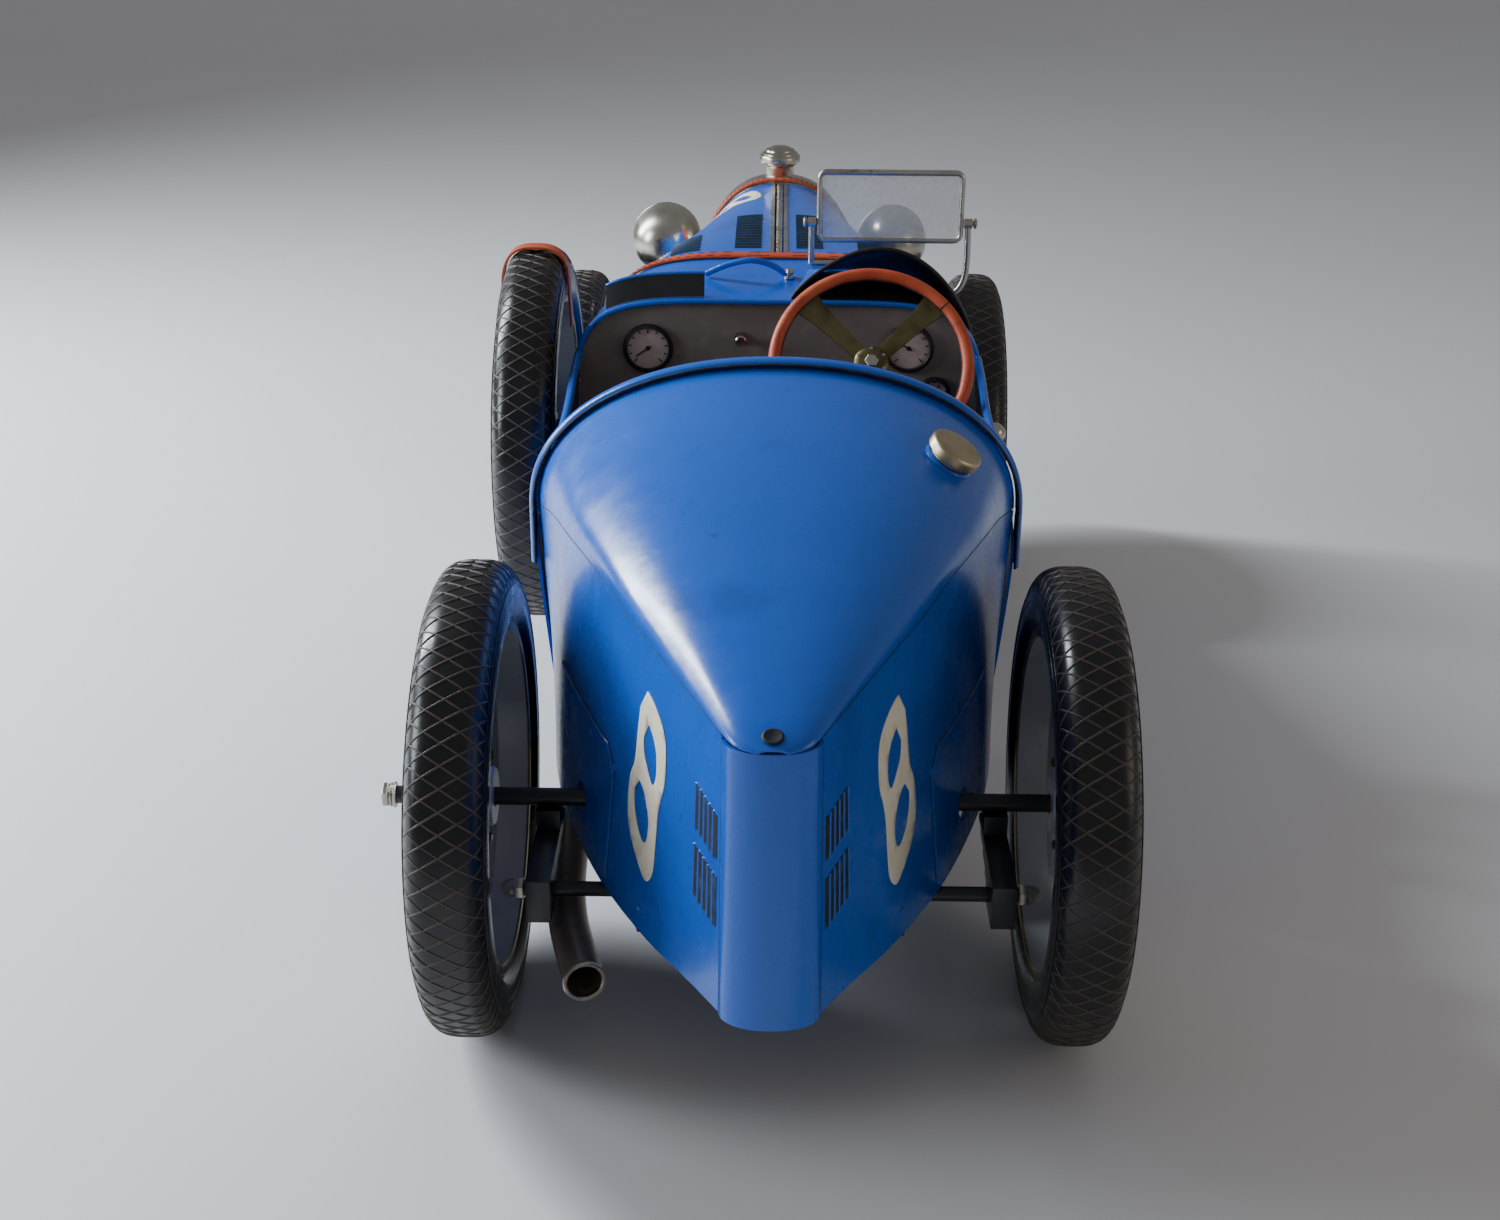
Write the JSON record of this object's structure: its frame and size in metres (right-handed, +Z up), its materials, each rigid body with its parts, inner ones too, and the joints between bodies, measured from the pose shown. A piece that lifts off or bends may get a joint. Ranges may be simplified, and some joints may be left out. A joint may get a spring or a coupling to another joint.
{
  "type": "pedal car",
  "caption": "Child's boat-tailed racing pedal car with chain drive, steered front wheels, opening bonnet halves, tilting windscreen and a side-mounted spare wheel.",
  "frame": {"origin": "on the ground, under the middle of the bounding box", "axes": "+Z up, +Y forward towards the radiator, +X to the driver's right"},
  "size_m": [0.498, 1.1782, 0.4902],
  "materials": {
    "body_paint": "satin blue enamel with dark seams",
    "black_paint": "satin black",
    "nickel": "aged nickel plate",
    "aged_steel": "worn steel with brown tint",
    "tyre_rubber": "semi-gloss black rubber",
    "wheel_paint": "pale grey satin",
    "red_leather": "orange-red leather",
    "seat_leather": "brown leather",
    "dash_board": "matt grey-brown",
    "spoke_brass": "dull aged brass",
    "pedal_rubber": "ribbed black rubber",
    "screen_glass": "clear, faintly grey"
  },
  "bodies": {
    "chassis": {"rail_left": "black_paint", "rail_right": "black_paint", "rear_cross_rod": "nickel", "axle_carrier": "black_paint", "pedal_bracket": "black_paint", "rear_spring_left": "black_paint", "rear_spring_right": "black_paint", "tail_deck": "body_paint", "tail_side_left": "body_paint", "tail_side_right": "body_paint", "tail_strip": "body_paint", "cockpit_side_left": "body_paint", "cockpit_side_right": "body_paint", "coaming_hoop": "body_paint", "floor_pan": "black_paint", "seat_frame": "black_paint", "seat_cushion": "seat_leather", "scuttle": "body_paint", "dashboard": "dash_board", "driver_cowl": "body_paint", "passenger_deflector": "black_paint", "scuttle_stay": "body_paint", "windscreen_posts": "nickel", "engine_side_left": "body_paint", "engine_side_right": "body_paint", "bonnet_hinge": "nickel", "radiator_shell": "nickel", "headlamps": "nickel", "rear_strap": "red_leather", "front_strap": "red_leather", "spare_strap": "red_leather", "exhaust_pipe": "aged_steel", "tyre_spare": "tyre_rubber", "wheel_spare": "wheel_paint", "front_axle": "black_paint", "chain": "aged_steel"},
    "axle": {"rear_axle": "aged_steel", "wheel_rear_left": "wheel_paint", "tyre_rear_left": "tyre_rubber"},
    "rear_right_wheel": {"wheel_rear_right": "wheel_paint", "tyre_rear_right": "tyre_rubber"},
    "crank": {"crank": "aged_steel"},
    "left_pedal": {"pedal_left": "pedal_rubber"},
    "right_pedal": {"pedal_right": "pedal_rubber"},
    "steering_wheel": {"steering_rim": "red_leather", "steering_spider": "spoke_brass"},
    "left_knuckle": {"knuckle_left": "aged_steel"},
    "right_knuckle": {"knuckle_right": "aged_steel"},
    "front_left_wheel": {"wheel_front_left": "wheel_paint", "tyre_front_left": "tyre_rubber"},
    "front_right_wheel": {"wheel_front_right": "wheel_paint", "tyre_front_right": "tyre_rubber"},
    "track_rod": {"tie_rod": "aged_steel"},
    "bonnet_left_half": {"bonnet_left": "body_paint"},
    "bonnet_right_half": {"bonnet_right": "body_paint"},
    "windscreen": {"windscreen_frame": "nickel", "windscreen_glass": "screen_glass"},
    "handbrake": {"handbrake_lever": "nickel"},
    "radiator_filler": {"radiator_cap": "nickel"},
    "fuel_filler": {"fuel_cap": "nickel"}
  },
  "joints": [
    {"name": "rear_axle_turn", "type": "hinge", "parent": "chassis", "child": "axle", "pos_m": [0.013, -0.37012, 0.15923], "axis": [1, 0, 0], "continuous": true},
    {"name": "rear_right_wheel_turn", "type": "hinge", "parent": "chassis", "child": "rear_right_wheel", "pos_m": [0.211, -0.37012, 0.15923], "axis": [1, 0, 0], "continuous": true},
    {"name": "crank_turn", "type": "hinge", "parent": "chassis", "child": "crank", "pos_m": [0.013, 0.18988, 0.16723], "axis": [1, 0, 0], "continuous": true},
    {"name": "left_pedal_turn", "type": "hinge", "parent": "crank", "child": "left_pedal", "pos_m": [-0.018, 0.18988, 0.12223], "axis": [1, 0, 0], "continuous": true},
    {"name": "right_pedal_turn", "type": "hinge", "parent": "crank", "child": "right_pedal", "pos_m": [0.044, 0.18988, 0.21223], "axis": [1, 0, 0], "continuous": true},
    {"name": "steering_turn", "type": "hinge", "parent": "chassis", "child": "steering_wheel", "pos_m": [0.086, -0.04512, 0.36723], "axis": [0, -0.788, 0.6157], "range_deg": [-90, 90]},
    {"name": "left_knuckle_turn", "type": "hinge", "parent": "chassis", "child": "left_knuckle", "pos_m": [-0.145, 0.42989, 0.15923], "axis": [0, 0, 1], "range_deg": [-18.5, 18.5]},
    {"name": "right_knuckle_turn", "type": "hinge", "parent": "chassis", "child": "right_knuckle", "pos_m": [0.171, 0.42989, 0.15923], "axis": [0, 0, 1], "range_deg": [-18.5, 18.5]},
    {"name": "track_rod_slide", "type": "slide", "parent": "chassis", "child": "track_rod", "axis": [1, 0, 0], "range_m": [-0.0097, 0.0097]},
    {"name": "front_left_wheel_turn", "type": "hinge", "parent": "left_knuckle", "child": "front_left_wheel", "pos_m": [-0.185, 0.42989, 0.15923], "axis": [1, 0, 0], "continuous": true},
    {"name": "front_right_wheel_turn", "type": "hinge", "parent": "right_knuckle", "child": "front_right_wheel", "pos_m": [0.211, 0.42989, 0.15923], "axis": [1, 0, 0], "continuous": true},
    {"name": "bonnet_left_lift", "type": "hinge", "parent": "chassis", "child": "bonnet_left_half", "pos_m": [0.013, 0.25488, 0.41428], "axis": [0, 0.9993, 0.0364], "range_deg": [0, 9]},
    {"name": "bonnet_right_lift", "type": "hinge", "parent": "chassis", "child": "bonnet_right_half", "pos_m": [0.013, 0.25488, 0.41428], "axis": [0, -0.9993, -0.0364], "range_deg": [0, 60]},
    {"name": "windscreen_tilt", "type": "hinge", "parent": "chassis", "child": "windscreen", "pos_m": [0.105, 0.09989, 0.44623], "axis": [1, 0, 0], "range_deg": [-40, 20]},
    {"name": "handbrake_pull", "type": "hinge", "parent": "chassis", "child": "handbrake", "pos_m": [0.1915, -0.04011, 0.17923], "axis": [1, 0, 0], "range_deg": [0, 25]},
    {"name": "radiator_cap_turn", "type": "hinge", "parent": "chassis", "child": "radiator_filler", "pos_m": [0.013, 0.40988, 0.42923], "axis": [0, 0, 1], "continuous": true},
    {"name": "fuel_cap_turn", "type": "hinge", "parent": "chassis", "child": "fuel_filler", "pos_m": [0.13021, -0.27253, 0.36908], "axis": [0.5052, -0.1743, 0.8452], "continuous": true}
  ],
  "couplings": [
    {"joint": "crank_turn", "follows": "rear_axle_turn", "ratio": 0.69231},
    {"joint": "left_pedal_turn", "follows": "rear_axle_turn", "ratio": -0.69231},
    {"joint": "right_pedal_turn", "follows": "rear_axle_turn", "ratio": -0.69231},
    {"joint": "left_knuckle_turn", "follows": "steering_turn", "ratio": 0.2},
    {"joint": "right_knuckle_turn", "follows": "steering_turn", "ratio": 0.2},
    {"joint": "track_rod_slide", "follows": "steering_turn", "m_per_rad": -0.006}
  ]
}
